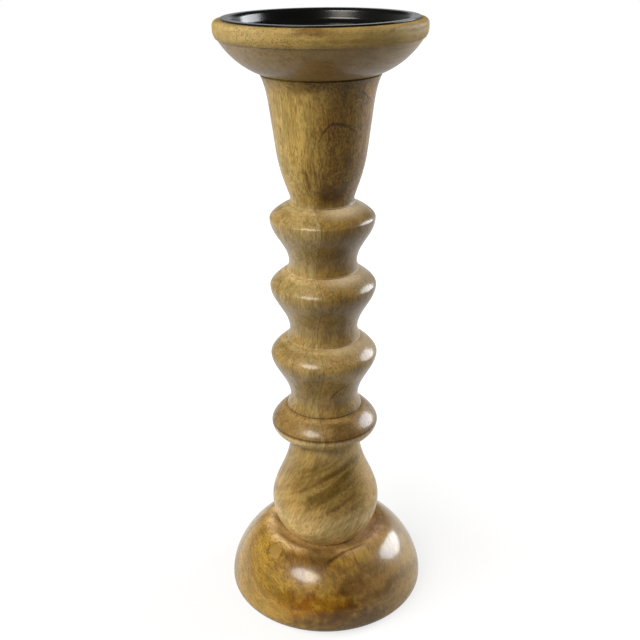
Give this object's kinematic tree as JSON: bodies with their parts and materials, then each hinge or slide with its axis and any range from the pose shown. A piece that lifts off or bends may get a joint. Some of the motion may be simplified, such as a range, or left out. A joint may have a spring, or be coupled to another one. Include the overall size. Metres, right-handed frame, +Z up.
{
  "type": "candle stand",
  "caption": "Turned wooden pillar candle stand: domed foot, round bulb, beaded column, flared vase and a dish with a lift-out black metal drip pan.",
  "frame": {"origin": "centre of the foot on the surface that the felt pads stand on", "axes": "+Z up the stand's axis, -Y towards the viewer of the picture, +X to that viewer's right"},
  "size_m": [0.1308, 0.1308, 0.3808],
  "materials": {
    "felt": "pressed black felt",
    "foot_wood": "satin lacquer",
    "bulb_wood": "satin lacquer",
    "light_board_wood": "satin lacquer",
    "dark_board_wood": "satin lacquer",
    "dish_wood": "satin lacquer",
    "zinc_steel": "zinc plated",
    "insert_brass": "as turned",
    "black_enamel": "satin black enamel"
  },
  "bodies": {
    "stand": {"felt_pads": "felt", "foot": "foot_wood", "rod_washer": "zinc_steel", "rod_nut": "zinc_steel", "tie_rod": "zinc_steel", "rod_insert": "insert_brass", "bulb": "bulb_wood", "column_left_board": "light_board_wood", "column_right_board": "dark_board_wood", "dish": "dish_wood"},
    "pan": {"drip_pan": "black_enamel"}
  },
  "joints": [
    {"name": "pan_lift", "type": "slide", "parent": "stand", "child": "pan", "axis": [0, 0, 1], "range_m": [0, 0.05]}
  ]
}
